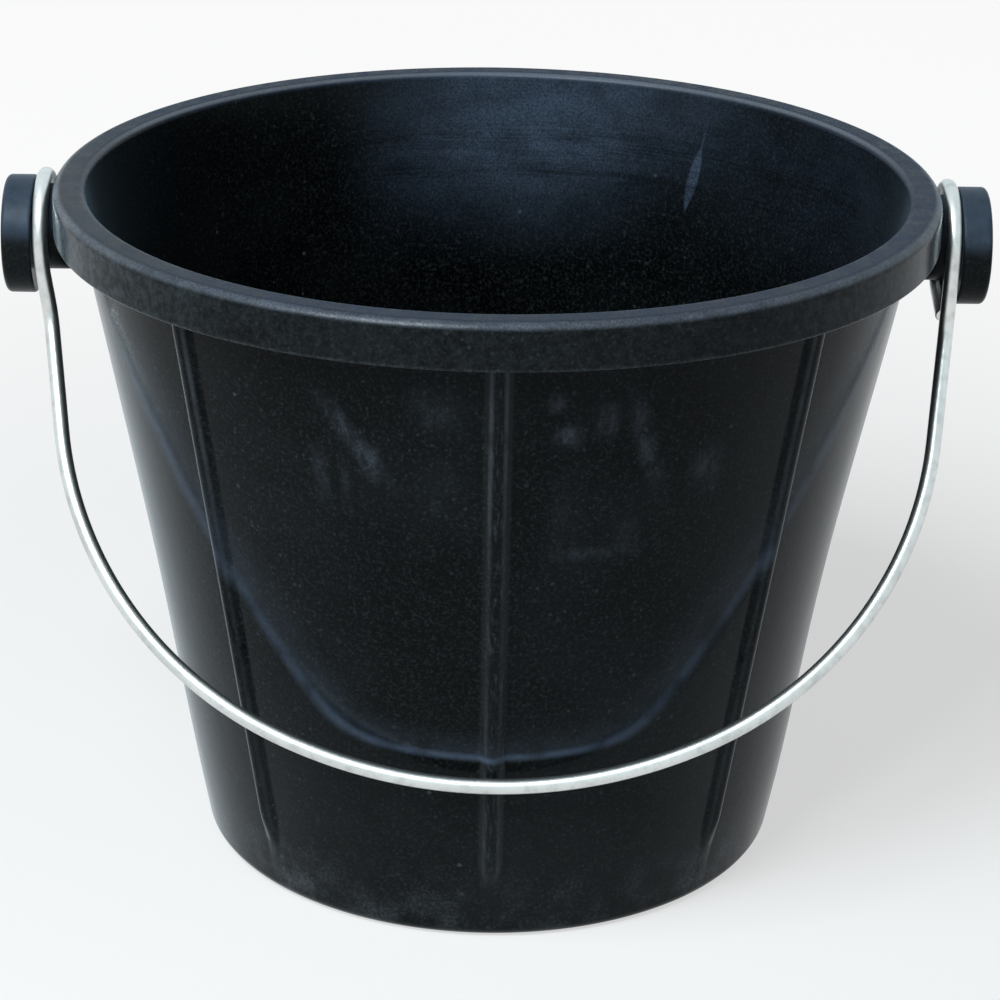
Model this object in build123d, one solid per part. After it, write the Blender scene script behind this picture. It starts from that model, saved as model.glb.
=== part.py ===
from build123d import *
import os
from math import asin, atan, cos, degrees, hypot, radians, sin

# A moulded rubber bucket with a swinging wire bail, in millimetres.
# Z is up, the base stands on z = 0 and the bail hangs against the front, which faces -Y.

# Shell
height = 244.0
base_radius = 104.5        # outside of the wall, carried down to z = 0
shoulder_radius = 145.5    # outside of the wall where it meets the rim band
band_projection = 9.5      # rim band beyond the wall under it
band_height = 16.0
wall_thickness = 4.5
floor_thickness = 6.0
foot_ring_width = 15.0     # flat ring that the bucket stands on
foot_depth = 2.0           # hollow inside the foot ring
foot_rounding = 1.0
base_rounding = 5.0
floor_rounding = 9.0
rim_outer_rounding = 3.5
rim_inner_rounding = 3.0
band_lower_rounding = 0.9

# Ribs, three on the front and three on the back, with none under the lugs
rib_spacing = 45.0         # turn between neighbouring ribs, in degrees
rib_top_width = 10.8       # at the wall, under the band
rib_foot_width = 9.2       # at the wall, by the tip
rib_rise = 2.8
rib_draft = 43.0           # slope of the flanks, in degrees
rib_tip_height = 19.0      # lowest point of a rib above the ground
rib_crown_rounding = 1.0
rib_root_rounding = 1.0    # blend between a rib and the wall
rib_root = 1.5             # depth of the rib's foot inside the wall
rib_head = 6.0             # length of the rib's top inside the band

# Lugs
neck_radius = 15.0
neck_drop = 19.6           # neck axis below the top of the rim
disc_radius = 20.7
disc_thickness = 10.3
disc_drop = 2.8            # disc centre below the neck axis
disc_face_rounding = 1.8
disc_back_rounding = 1.0
neck_root_rounding = 1.0

# Bail
wire_diameter = 5.3
bail_depth = 196.4         # eye centre to the wire at the bottom of the bail
bail_splay = 7.6           # outward lean of the straight legs, in degrees
bottom_radius_ratio = 1.1      # radius of the bottom curve over half the width of the loop
side_radius_ratio = 0.883      # radius of the side curves over half the width of the loop
loop_inset = 1.85          # loop inside the eyes, on each side
loop_shift = 1.1           # loop to the right of the middle, as it was bent
kink_radius = 13.0
eye_slack = 2.75           # inside radius of the eye less the radius of the neck
eye_lean = 0.3             # outward lean of the top of an eye
right_eye_wrap = 255.0     # turn of the wire round the right neck, in degrees
left_eye_wrap = 222.0
right_tail = 15.0          # straight end after the right eye
left_tail = 4.0
wire_end_chamfer = 0.5

# Clearances
hang_gap = 0.3             # eye above the neck
rest_gap = 0.3             # wire to the crown of the front rib
band_gap = 0.4             # eye to the rim band
disc_gap = 0.6             # eye to the back of the disc

# Sizes that follow from the ones above
band_z = height - band_height
rim_radius = shoulder_radius + band_projection
taper = (shoulder_radius - base_radius) / band_z
taper_angle = atan(taper)
mouth_radius = base_radius + taper * height - wall_thickness
floor_z = foot_depth + floor_thickness
floor_radius = base_radius + taper * floor_z - wall_thickness
foot_inner_radius = base_radius - base_rounding - foot_ring_width
wire_radius = wire_diameter / 2
pivot_z = height - neck_drop
eye_radius = neck_radius + eye_slack + wire_radius
eye_z = pivot_z - eye_slack + hang_gap
eye_x = rim_radius + band_gap + wire_radius + eye_lean
disc_back_x = eye_x + eye_lean + wire_radius + disc_gap
loop_half = eye_x - loop_inset


def turned(points, radii):
    """Solid turned about Z from a closed outline of (radius, z) corners, each with its own rounding."""
    outline = FilletPolyline(*points, radius=radii, close=True)
    return revolve(make_face(Plane.XZ * outline), Axis.Z)


# Outside of the shell from the foot hollow up to the rim, and the inside back down to the floor
outside = [
    (0, foot_depth),
    (foot_inner_radius - foot_depth, foot_depth),
    (foot_inner_radius, 0),
    (base_radius, 0),
    (shoulder_radius, band_z),
    (rim_radius, band_z),
    (rim_radius, height),
]
outside_radii = [
    0,
    foot_rounding,
    foot_rounding,
    base_rounding,
    0,
    band_lower_rounding,
    rim_outer_rounding,
]
inside = [(mouth_radius, height), (floor_radius, floor_z), (0, floor_z)]
inside_radii = [rim_inner_rounding, floor_rounding, 0]

# One rib along +X: a slender outline on the slope of the wall, raised with drafted flanks
slope_plane = Plane(
    origin=(base_radius - rib_root * cos(taper_angle), 0, rib_root * sin(taper_angle)),
    x_dir=(0, 1, 0),
    z_dir=(cos(taper_angle), 0, -sin(taper_angle)),
)
root_spread = rib_root * sin(radians(rib_draft)) / cos(radians(rib_draft))
half_top = rib_top_width / 2 + root_spread
half_foot = rib_foot_width / 2 + root_spread
rib_low = rib_tip_height / cos(taper_angle) - root_spread
rib_high = (band_z + rib_head) / cos(taper_angle)
rib_outline = FilletPolyline(
    (-half_top, rib_high),
    (-half_foot, rib_low),
    (half_foot, rib_low),
    (half_top, rib_high),
    radius=[0, 0.9 * half_foot, 0.9 * half_foot, 0],
    close=True,
)
rib = extrude(slope_plane * make_face(rib_outline), amount=rib_root + rib_rise, taper=rib_draft)
rib_crown = rib.faces().sort_by(Axis((0, 0, 0), tuple(slope_plane.z_dir)))[-1]
rib = fillet(rib_crown.edges(), rib_crown_rounding)
rib_turns = [middle + step * rib_spacing for middle in (-90, 90) for step in (-1, 0, 1)]
ribs = [Rot(0, 0, turn) * rib for turn in rib_turns]


def is_rib_root(edge):
    """True for an edge where a rib meets the plain wall, but not for the straight seam of the wall."""
    if edge.geom_type == GeomType.LINE:
        return False
    middle = edge @ 0.5
    off_wall = (hypot(middle.X, middle.Y) - base_radius - taper * middle.Z) * cos(taper_angle)
    return abs(off_wall) < rib_root / 5 and rib_tip_height - rib_root < middle.Z < band_z - rib_root


def ribbed(form):
    """The turned form with the ribs on its wall, blended in along their roots."""
    joined = form + ribs
    return fillet(joined.edges().filter_by(is_rib_root), rib_root_rounding)


bucket_body = ribbed(turned(outside + inside, outside_radii + inside_radii))
outer_form = ribbed(turned(outside + [(0, height)], outside_radii + [0]))

# Right lug: a neck with an offset disc, cut to the wall and the band that it stands on
neck_start = shoulder_radius - 2 * wall_thickness
neck = Pos(neck_start, 0, pivot_z) * Rot(0, 90, 0) * Cylinder(
    neck_radius,
    disc_back_x + disc_thickness / 2 - neck_start,
    align=(Align.CENTER, Align.CENTER, Align.MIN),
)
disc = Pos(disc_back_x, 0, pivot_z - disc_drop) * Rot(0, 90, 0) * Cylinder(
    disc_radius,
    disc_thickness,
    align=(Align.CENTER, Align.CENTER, Align.MIN),
)
disc_rims = disc.edges().filter_by(GeomType.CIRCLE).sort_by(Axis.X)
disc = fillet(disc_rims[-1], disc_face_rounding)
disc = fillet(disc.edges().filter_by(GeomType.CIRCLE).sort_by(Axis.X)[0], disc_back_rounding)
lug_form = neck + disc
lug_circles = lug_form.edges().filter_by(GeomType.CIRCLE)
neck_roots = lug_circles.filter_by(lambda edge: abs(edge.radius - neck_radius) < neck_radius / 1000)
lug_form = fillet(neck_roots.sort_by(Axis.X)[-1], neck_root_rounding)
right_lug = lug_form - outer_form
left_lug = mirror(right_lug, about=Plane.YZ)

# The bail hangs from its eyes and leans forward until the wire meets the crown of the front rib
wall_distance = rib_rise + wire_radius + rest_gap
reach = wall_distance + base_radius * cos(taper_angle) + eye_z * sin(taper_angle)
bail_tilt = asin(reach / bail_depth) - taper_angle
across = Vector(1, 0, 0)
down = Vector(0, -sin(bail_tilt), -cos(bail_tilt))

# Plane of the right eye, leaning outward at its top
eye_centre = Vector(eye_x, 0, eye_z)
eye_front = Vector(0, -1, 0)
eye_up = Vector(eye_lean, 0, eye_radius).normalized()


def eye_point(angle):
    """Point on the right eye, from its front over its top, for an angle in degrees."""
    turn = radians(angle)
    return eye_centre + (eye_front * cos(turn) + eye_up * sin(turn)) * eye_radius


def eye_heading(angle):
    """Direction of the wire on the right eye as it goes from the front over the top."""
    turn = radians(angle)
    return eye_up * cos(turn) - eye_front * sin(turn)


def loop_point(x, s):
    """Point in the plane of the loop, x to the right of its middle and s down from the line of the eyes."""
    return Vector(loop_shift, 0, eye_z) + across * x + down * s


# Bottom arc, two side arcs and straight legs, each tangent to the next.
# A leg ends in a kink below the front of its eye.
splay = radians(bail_splay)
kink_down = eye_radius / sin(bail_tilt)
bottom_radius = bottom_radius_ratio * loop_half
side_radius = side_radius_ratio * loop_half
radius_step = bottom_radius - side_radius
bottom_centre_down = bail_depth - bottom_radius
leg_offset = loop_half * cos(splay) + (kink_down - bottom_centre_down) * sin(splay) - side_radius
bottom_angle = asin(leg_offset / radius_step) - splay
side_centre = (radius_step * sin(bottom_angle), bottom_centre_down + radius_step * cos(bottom_angle))
side_end = radians(90) - splay


def bottom_point(angle):
    """Point on the bottom arc at an angle in radians from straight down."""
    return loop_point(bottom_radius * sin(angle), bottom_centre_down + bottom_radius * cos(angle))


def side_point(side, angle):
    """Point on a side arc at an angle in radians from straight down."""
    x = side_centre[0] + side_radius * sin(angle)
    return loop_point(side * x, side_centre[1] + side_radius * cos(angle))


def bail_side(side, wrap, tail):
    """Edges of one half of the wire, from the bottom arc to the end of the tail.

    side is 1 for the right half and -1 for the left one. The riser above the kink bends into the eye.
    """
    def placed(point):
        return Vector(side * point.X, point.Y, point.Z)

    eye_start = placed(eye_point(0))
    kink = loop_point(side * loop_half, kink_down)
    leg_up = across * (side * sin(splay)) - down * cos(splay)
    riser_up = (eye_start - kink).normalized()
    half_turn = radians(leg_up.get_angle(riser_up)) / 2
    kink_run = kink_radius * sin(half_turn) / cos(half_turn)
    kink_start = kink - leg_up * kink_run
    kink_end = kink + riser_up * kink_run
    tail_start = placed(eye_point(wrap))
    tail_end = tail_start + placed(eye_heading(wrap)) * tail
    return [
        Edge.make_three_point_arc(
            side_point(side, bottom_angle),
            side_point(side, (bottom_angle + side_end) / 2),
            side_point(side, side_end),
        ),
        Edge.make_line(side_point(side, side_end), kink_start),
        Edge.make_tangent_arc(kink_start, leg_up, kink_end),
        Edge.make_spline([kink_end, eye_start], tangents=[riser_up, placed(eye_up)]),
        Edge.make_three_point_arc(eye_start, placed(eye_point(wrap / 2)), tail_start),
        Edge.make_line(tail_start, tail_end),
    ]


bottom_arc = Edge.make_three_point_arc(
    bottom_point(-bottom_angle),
    bottom_point(0),
    bottom_point(bottom_angle),
)
right_half = bail_side(1, right_eye_wrap, right_tail)
left_half = bail_side(-1, left_eye_wrap, left_tail)
wire_path = Wire(left_half + [bottom_arc] + right_half)
wire_start = Plane(origin=wire_path @ 0, z_dir=wire_path % 0)
bail = sweep(wire_start * Circle(wire_radius), path=wire_path)
wire_ends = bail.faces().filter_by(GeomType.PLANE).edges()
bail = chamfer(wire_ends, wire_end_chamfer)

os.makedirs("parts", exist_ok=True)
export_step(bucket_body, "parts/bucket_body.step")
export_step(left_lug, "parts/left_lug.step")
export_step(right_lug, "parts/right_lug.step")
export_step(bail, "parts/bail.step")

print("bail tilt %.3f degrees, pivot z %.3f mm" % (degrees(bail_tilt), pivot_z))
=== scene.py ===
"""A moulded rubber bucket with a swinging wire bail, dressed for a plain studio picture.

Sizes are in metres in the frame of the solid model: Z is up, the base stands on z = 0, the lugs
lie along X and the bail rests against the front, which faces -Y.
"""

import logging
import math
from collections.abc import Callable, Iterable, Sequence
from dataclasses import dataclass, field
from enum import Enum

import bpy
from mathutils import Matrix, Vector, noise

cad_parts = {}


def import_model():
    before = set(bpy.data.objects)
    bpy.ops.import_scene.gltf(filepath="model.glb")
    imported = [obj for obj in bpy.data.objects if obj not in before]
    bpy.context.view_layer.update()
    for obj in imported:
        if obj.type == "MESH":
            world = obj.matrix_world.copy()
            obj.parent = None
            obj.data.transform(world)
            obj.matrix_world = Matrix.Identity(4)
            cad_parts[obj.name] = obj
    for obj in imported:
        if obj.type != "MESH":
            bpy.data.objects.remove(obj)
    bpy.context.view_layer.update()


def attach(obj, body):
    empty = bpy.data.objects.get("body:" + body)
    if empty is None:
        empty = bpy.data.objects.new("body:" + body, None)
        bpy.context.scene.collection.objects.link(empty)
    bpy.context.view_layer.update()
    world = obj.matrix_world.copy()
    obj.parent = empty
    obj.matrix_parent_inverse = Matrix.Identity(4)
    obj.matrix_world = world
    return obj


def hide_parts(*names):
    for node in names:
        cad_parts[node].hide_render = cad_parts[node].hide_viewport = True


LOG = logging.getLogger("bucket")

Colour = tuple[float, float, float, float]
Point = tuple[float, float, float]
Face = tuple[int, ...]
Outline = list[tuple[float, float]]
Ring = tuple[float, float, float]
Column = tuple[int, float, float]


class Side(Enum):
    """The side of the bucket that a lug or half of the bail is on."""

    LEFT = -1
    RIGHT = 1


class Moulding(Enum):
    """The rubber piece that a finish is made for."""

    SHELL = "shell"
    LUG = "lug"


class Shade:
    """A socket of a node tree that takes part in Python expressions."""

    def __init__(self, board: "NodeBoard", socket: bpy.types.NodeSocket) -> None:
        """Hold an output socket and the board that further nodes go on."""
        self.board = board
        self.socket = socket

    def maths(self, operation: str, *others: "Shade | float") -> "Shade":
        """Result of a Math node that is fed this value, then the others."""
        inputs = dict(enumerate((self, *others)))
        return self.board.node("ShaderNodeMath", {"operation": operation}, inputs)

    def __add__(self, other: "Shade | float") -> "Shade":
        """Sum of two values."""
        return self.maths("ADD", other)

    def __sub__(self, other: "Shade | float") -> "Shade":
        """Difference of two values."""
        return self.maths("SUBTRACT", other)

    def __rsub__(self, other: float) -> "Shade":
        """Difference with a number on the left."""
        return self.board.node("ShaderNodeMath", {"operation": "SUBTRACT"}, {0: other, 1: self})

    def __mul__(self, other: "Shade | float") -> "Shade":
        """Product of two values."""
        return self.maths("MULTIPLY", other)

    def __truediv__(self, other: "Shade | float") -> "Shade":
        """Quotient of two values."""
        return self.maths("DIVIDE", other)

    def __pow__(self, other: "Shade | float") -> "Shade":
        """Power of a value."""
        return self.maths("POWER", other)

    def __abs__(self) -> "Shade":
        """Size of a value without its sign."""
        return self.maths("ABSOLUTE")

    __radd__ = __add__
    __rmul__ = __mul__

    def ramp(self, low: float, high: float) -> "Shade":
        """Smooth step of this value.

        Args:
            low: Where the step starts, at 0.
            high: Where it ends, at 1. It may lie below low.

        Returns:
            A value from 0 to 1.
        """
        ends = (low, high, 0.0, 1.0) if low < high else (high, low, 1.0, 0.0)
        inputs = dict(zip(("Value", "From Min", "From Max", "To Min", "To Max"), (self, *ends)))
        return self.board.node("ShaderNodeMapRange", {"interpolation_type": "SMOOTHSTEP"}, inputs)

    def bell(self, centre: float, reach: float) -> "Shade":
        """Smooth hump that is 1 at a centre and 0 beyond its reach on either side."""
        return abs(self - centre).ramp(reach, 0.0)

    def clamped(self) -> "Shade":
        """This value held between 0 and 1."""
        return self.maths("MINIMUM", 1.0).maths("MAXIMUM", 0.0)


class NodeBoard:
    """A node tree with one method that adds any node to it."""

    def __init__(self, tree: bpy.types.NodeTree) -> None:
        """Empty the tree of a material or a world and hold it."""
        self.tree = tree
        tree.nodes.clear()

    def node(self, kind: str, settings: dict | None = None, inputs: dict | None = None,
             output: int | str = 0) -> Shade:
        """Add a node.

        Args:
            kind: The node's type.
            settings: Attributes of the node, which are set first.
            inputs: A number, a colour or a Shade for each socket, by name or by index.
            output: The output socket to hand back.

        Returns:
            The chosen output as a value.
        """
        made = self.tree.nodes.new(kind)
        for name, value in (settings or {}).items():
            setattr(made, name, value)
        for name, value in (inputs or {}).items():
            if isinstance(value, Shade):
                self.tree.links.new(value.socket, made.inputs[name])
            else:
                made.inputs[name].default_value = value
        return Shade(self, made.outputs[output] if made.outputs else None)

    def mix(self, factor: Shade | float, first: Shade | Colour, second: Shade | Colour) -> Shade:
        """Colour that goes from the first to the second as the factor goes from 0 to 1."""
        inputs = {0: factor, 6: first, 7: second}
        return self.node("ShaderNodeMix", {"data_type": "RGBA"}, inputs, 2)

    def backdrop_rays(self) -> Shade:
        """1 for rays that show the backdrop, straight or mirrored, and 0 for rays that light it.

        Returns:
            The mask of those rays.
        """
        seen = self.node("ShaderNodeLightPath", output="Is Camera Ray")
        for kind in ("Is Glossy Ray", "Is Transmission Ray"):
            seen = seen.maths("MAXIMUM", self.node("ShaderNodeLightPath", output=kind))
        return seen

    def place(self, scale: Point = (1.0, 1.0, 1.0)) -> Shade:
        """The point on the piece, in metres, stretched by a scale."""
        point = self.node("ShaderNodeTexCoord", output="Object")
        return self.node("ShaderNodeVectorMath", {"operation": "MULTIPLY"}, {0: point, 1: scale})

    def grain(self, size: float, detail: float = 2.0, stretch: Point = (1.0, 1.0, 1.0),
              roughness: float = 0.5) -> Shade:
        """Noise from 0 to 1.

        Args:
            size: The size of its grains in metres.
            detail: How many finer layers it has.
            stretch: A factor on the piece's axes, below 1 for long grains.
            roughness: How strong the finer layers are.

        Returns:
            The noise.
        """
        inputs = {"Vector": self.place(stretch), "Scale": 1.0 / size}
        inputs |= {"Detail": detail, "Roughness": roughness}
        return self.node("ShaderNodeTexNoise", None, inputs)

    def specks(self, pitch: float, size: float, share: float) -> Shade:
        """Small round specks scattered over the piece.

        Args:
            pitch: The distance between places for a speck, in metres.
            size: The radius of the largest speck, in metres.
            share: The share of the places that hold one.

        Returns:
            A mask that is 1 on a speck.
        """
        inputs = {"Vector": self.place(), "Scale": 1.0 / pitch}
        far = self.node("ShaderNodeTexVoronoi", None, inputs)
        colour = self.node("ShaderNodeTexVoronoi", None, inputs, "Color")
        lot = self.node("ShaderNodeSeparateColor", None, {"Color": colour})
        radius = lot.ramp(1.0 - share, 1.0) * (size / pitch)
        return (radius - far).ramp(0.0, 0.4 * size / pitch)


def blank_material(name: str) -> tuple[bpy.types.Material, NodeBoard]:
    """Start a material.

    Args:
        name: The material's name.

    Returns:
        The material and its empty board.
    """
    material = bpy.data.materials.new(name)
    material.use_nodes = True
    return material, NodeBoard(material.node_tree)


@dataclass(frozen=True)
class Smudge:
    """A pale patch on the rubber.

    The turn is measured in degrees from the front towards the right, and the height from the
    ground. The lean is the turn that the patch gains with each metre of height.
    """

    turn: float
    height: float
    half_turn: float
    half_height: float
    strength: float
    inside: bool = False
    lean: float = 0.0


@dataclass
class ShellMarks:
    """Masks for the marks and the painted light on the shell, by where a shaded point lies on it.

    The sizes are those of the solid model. Turns are in degrees from the front towards the right.
    """

    board: NodeBoard
    taper: float = 41.0 / 228.0
    base_radius: float = 0.1045
    wall: float = 0.0045
    height: float = 0.244
    rim_radius: float = 0.155
    mouth_radius: float = 0.1439
    band_z: float = 0.228
    rib_half_pitch: float = 22.5
    # Where the painted reflection of the bail runs across the front wall.
    reflection_level: float = 0.0758
    reflection_climb: float = 0.00325
    reflection_start: float = 0.0829
    reflection_bend: float = 0.02
    reflection_aside: float = 0.9
    blade_z: float = 0.197
    blade_turn: float = 147.0
    blade_length: float = 0.038
    smudges: tuple[Smudge, ...] = (
        Smudge(-19.4, 0.197, 2.6, 0.021, 0.30, lean=-272.0),
        Smudge(-16.9, 0.189, 2.2, 0.010, 0.16),
        Smudge(-24.4, 0.182, 1.8, 0.014, 0.20),
        Smudge(-20.8, 0.179, 1.3, 0.014, 0.12),
        Smudge(-8.0, 0.210, 4.6, 0.013, 0.15),
        Smudge(-8.0, 0.180, 4.0, 0.017, 0.07),
        Smudge(7.3, 0.213, 1.6, 0.005, 0.28),
        Smudge(9.0, 0.201, 2.8, 0.006, 0.36),
        Smudge(14.0, 0.206, 2.4, 0.010, 0.26),
        Smudge(19.5, 0.198, 2.4, 0.028, 0.20, lean=-130.0),
        Smudge(29.3, 0.184, 3.8, 0.014, 0.17),
        Smudge(18.0, 0.165, 3.2, 0.010, 0.11),
        Smudge(14.0, 0.157, 9.0, 0.004, 0.16),
        Smudge(9.0, 0.170, 4.0, 0.026, 0.06),
        # The patches inside are a pale layer that also paints a sheen of light on the back and
        # right.
        Smudge(168.0, 0.238, 42.0, 0.048, 0.48, True),
        Smudge(178.0, 0.214, 32.0, 0.048, 0.40, True),
        Smudge(115.0, 0.222, 45.0, 0.055, 0.14, True),
    )
    radius: Shade = field(init=False)
    turn: Shade = field(init=False)
    z: Shade = field(init=False)
    off_front: Shade = field(init=False)
    inner: Shade = field(init=False)
    outer: Shade = field(init=False)

    def __post_init__(self) -> None:
        """Find the point's radius, turn and height, and the side of the wall that it is on."""
        kind, place = "ShaderNodeSeparateXYZ", {"Vector": self.board.place()}
        x, y, self.z = (self.board.node(kind, None, place, axis) for axis in "XYZ")
        self.radius = (x * x + y * y) ** 0.5
        self.turn = x.maths("ARCTAN2", y * -1.0) * math.degrees(1.0)
        self.off_front = abs(self.turn)
        depth = self.radius - (self.base_radius - self.wall / 2) - self.taper * self.z
        self.inner = depth.ramp(0.0008, -0.0008)
        self.outer = 1.0 - self.inner

    def edge(self, radius: float, z: float, reach: float) -> Shade:
        """Soft line along the turned edge at a radius and a height, as wide as its reach."""
        across, along = self.radius - radius, self.z - z
        return ((across * across + along * along) ** 0.5).ramp(reach, reach * 0.25)

    def bloom(self) -> Shade:
        """Grey bloom on the outside, thicker near the base."""
        return (0.3 + 0.7 * self.z.ramp(0.13, 0.03)) * self.outer

    def band(self) -> Shade:
        """Dust on the face of the rim band, thicker to the sides.

        Returns:
            A mask from 0 to 1.
        """
        face = self.radius.ramp(self.rim_radius - 0.0022, self.rim_radius - 0.0010)
        face = face * self.z.ramp(self.band_z, self.band_z + 0.001)
        patchy = self.board.grain(0.0032, 5.0, roughness=0.7).ramp(0.36, 0.68)
        sides = self.off_front.ramp(28.0, 70.0) * (1.0 - 0.6 * self.off_front.ramp(95.0, 140.0))
        return face * (0.15 + 0.85 * patchy) * (0.10 + 0.46 * sides)

    def patches(self, inside: bool) -> Shade:
        """All the smudges on one side of the wall, soft and plain; those inside paint a sheen of
        light too.

        Args:
            inside: Whether the smudges inside are meant.

        Returns:
            A mask from 0 to about 1.
        """
        total: Shade | float = 0.0
        for smudge in self.smudges:
            if smudge.inside is inside:
                leaning = self.turn - (self.z - smudge.height) * smudge.lean
                away = (leaning - smudge.turn).maths("WRAP", 180.0, -180.0)
                patch = away.bell(0.0, smudge.half_turn)
                patch = patch * self.z.bell(smudge.height, smudge.half_height)
                total = total + patch * smudge.strength
        return total * (self.inner if inside else self.outer)

    def powder(self) -> Shade:
        """Fine grain in the pale layer and painted sheen inside, or in a smear."""
        return self.board.grain(0.0008, 3.0, roughness=0.75).ramp(0.32, 0.7)

    def film_and_painted_sheen(self) -> Shade:
        """Cloudy pale layer inside with a painted sheen of light, wiped along the wall, and a
        scuff.

        Returns:
            A mask from 0 to 1.
        """
        cloud = self.board.grain(0.014, 4.0, (0.6, 0.6, 1.0), 0.6).ramp(0.3, 0.72)
        wipe = self.board.grain(0.0007, 2.0, (0.02, 0.02, 1.0), 0.5).ramp(0.4, 0.62)
        bands = self.z.bell(0.219, 0.009) + self.z.bell(0.207, 0.005)
        bands = bands * self.board.grain(0.03, 3.0).ramp(0.35, 0.6)
        total = self.patches(True) + self.blade() * self.inner * 0.55
        total = total * (0.55 + 0.45 * cloud) * (1.0 - (0.10 + 0.4 * bands) * (1.0 - wipe))
        return (total * (0.5 + self.powder())).clamped()

    def blade(self) -> Shade:
        """Slanting scuff on the back of the inside, pointed at its foot.

        Returns:
            A mask from 0 to 1.
        """
        up = ((self.z - self.blade_z) / self.blade_length).clamped()
        aside = abs(self.turn - self.blade_turn + 2.4 * up)
        half = (1.05 - ((up - 0.36) / 0.35) ** 2.0).maths("MAXIMUM", 0.2)
        ends = self.z.ramp(self.blade_z, self.blade_z + 0.002) * self.z.ramp(0.236, 0.224)
        return (half - aside).ramp(-0.1, 0.3) * ends

    def smear(self) -> Shade:
        """Pale smears on the outside, left by hands and use."""
        scuffed = 0.35 + self.board.grain(0.0035, 5.0, (1.0, 1.0, 0.5), 0.65).ramp(0.4, 0.66)
        return (self.patches(False) * scuffed * (0.55 + 0.9 * self.powder())).clamped()

    def painted_bail_reflection(self) -> Shade:
        """Painted reflection of the bail: a pale line, level in front and rising to the sides.

        Returns:
            A mask from 0 to 1.
        """
        climb = self.reflection_climb * abs(self.turn + self.reflection_aside) - self.reflection_start
        bend = (climb * climb + self.reflection_bend ** 2) ** 0.5
        rising = (climb / bend) * 0.5 + 0.5
        far = self.off_front.ramp(44.0, 60.0)
        off = self.z - self.reflection_level - (climb + bend) * 0.5
        off = off / (1.0 + 2.4 * rising + 2.6 * far)
        line = off.bell(0.0, 0.0022) * (0.37 - 0.19 * rising + 0.08 * far)
        glow = off.ramp(-0.001, 0.0015) * off.ramp(0.012, 0.0) * 0.09
        soft = 0.45 + 0.55 * self.board.grain(0.01, 4.0).ramp(0.3, 0.6)
        return (line + glow) * soft * self.off_front.ramp(78.0, 62.0) * self.outer

    def polish(self) -> Shade:
        """Shine on the two upper edges of the rim, from wear, which also goes into the colour as a
        painted highlight.

        Returns:
            A mask from 0 to 1.
        """
        chips = self.board.grain(0.0007, 4.0, roughness=0.8).ramp(0.4, 0.64)
        patchy = self.board.grain(0.012, 4.0).ramp(0.3, 0.68)
        rim = self.edge(self.rim_radius - 0.0012, self.height - 0.0010, 0.0022)
        rim = rim * (0.25 + 0.45 * chips) * (0.55 + 0.45 * patchy)
        mouth = self.edge(self.mouth_radius + 0.0009, self.height - 0.0009, 0.0014)
        mouth = mouth * self.off_front.ramp(80.0, 125.0)
        return (rim + mouth * (0.6 + 0.3 * chips)).clamped()

    def painted_highlight_and_dirt(self, polish: Shade) -> Shade:
        """Painted highlights along the edges of the rim band and dried dirt round the base.

        Args:
            polish: The shine on the rim's upper edges, painted in as the palest highlight.

        Returns:
            A mask from 0 to 1.
        """
        chips = self.board.grain(0.0012, 4.0, roughness=0.65).ramp(0.4, 0.62)
        lower = self.edge(self.rim_radius - 0.0003, self.band_z + 0.0003, 0.0012)
        outside = self.radius.ramp(0.098, 0.101) * self.outer
        base = self.z.ramp(0.034, 0.002) * outside * self.board.grain(0.012, 4.0).ramp(0.38, 0.7)
        caked = base * (0.4 + 0.6 * chips) * (0.12 + 0.16 * self.off_front.ramp(22.0, 50.0))
        return (polish * 0.42 + lower * (0.3 + 0.7 * chips) * 0.10 + caked).clamped()

    def land(self) -> Shade:
        """Dust with a painted sheen of light on top of the rim, thinner on the left.

        Returns:
            A mask from 0 to 1.
        """
        top = self.z.ramp(self.height - 0.0028, self.height - 0.0009)
        top = top * (1.0 - 0.45 * abs(self.turn + 75.0).ramp(55.0, 15.0))
        cloud = self.board.grain(0.006, 4.0, roughness=0.6).ramp(0.25, 0.75)
        grit = self.board.grain(0.0009, 3.0, roughness=0.75).ramp(0.35, 0.75)
        return top * (0.10 + 0.22 * cloud + 0.36 * grit)

    def ribs(self) -> tuple[Shade, Shade]:
        """Dust and a painted highlight on the ribs.

        Returns:
            Fine upright dust streaks on the crowns, and a painted highlight on the edges that face
            the sides, both from 0 to 1.
        """
        aside = self.turn.maths("WRAP", self.rib_half_pitch, -self.rib_half_pitch)
        lateral = abs(aside) * math.radians(1.0) * self.radius
        outside = (self.radius - self.base_radius - self.taper * self.z).ramp(0.0004, 0.0016)
        raised = outside * self.z.ramp(self.band_z - 0.001, self.band_z - 0.003)
        lines = self.board.grain(0.0011, 2.0, (1.0, 1.0, 0.03)).ramp(0.5, 0.78)
        front = 1.0 - 0.85 * self.off_front.ramp(12.0, 30.0)
        streaks = lateral.ramp(0.0036, 0.0022) * raised * (0.02 + 0.24 * lines) * front
        # A painted highlight on the edge of each rib that faces away from the front.
        sideways = 0.2 + 0.8 * (aside * self.turn).ramp(0.0, 40.0)
        painted_highlight_and_dirt = 0.45 + 0.55 * self.board.grain(0.012, 3.0).ramp(0.3, 0.6)
        rib_edge_highlight = lateral.bell(0.0024, 0.0012) * painted_highlight_and_dirt * raised * sideways
        return streaks.clamped(), rib_edge_highlight * (0.26 + 0.50 * self.z.ramp(0.13, 0.21))


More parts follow.
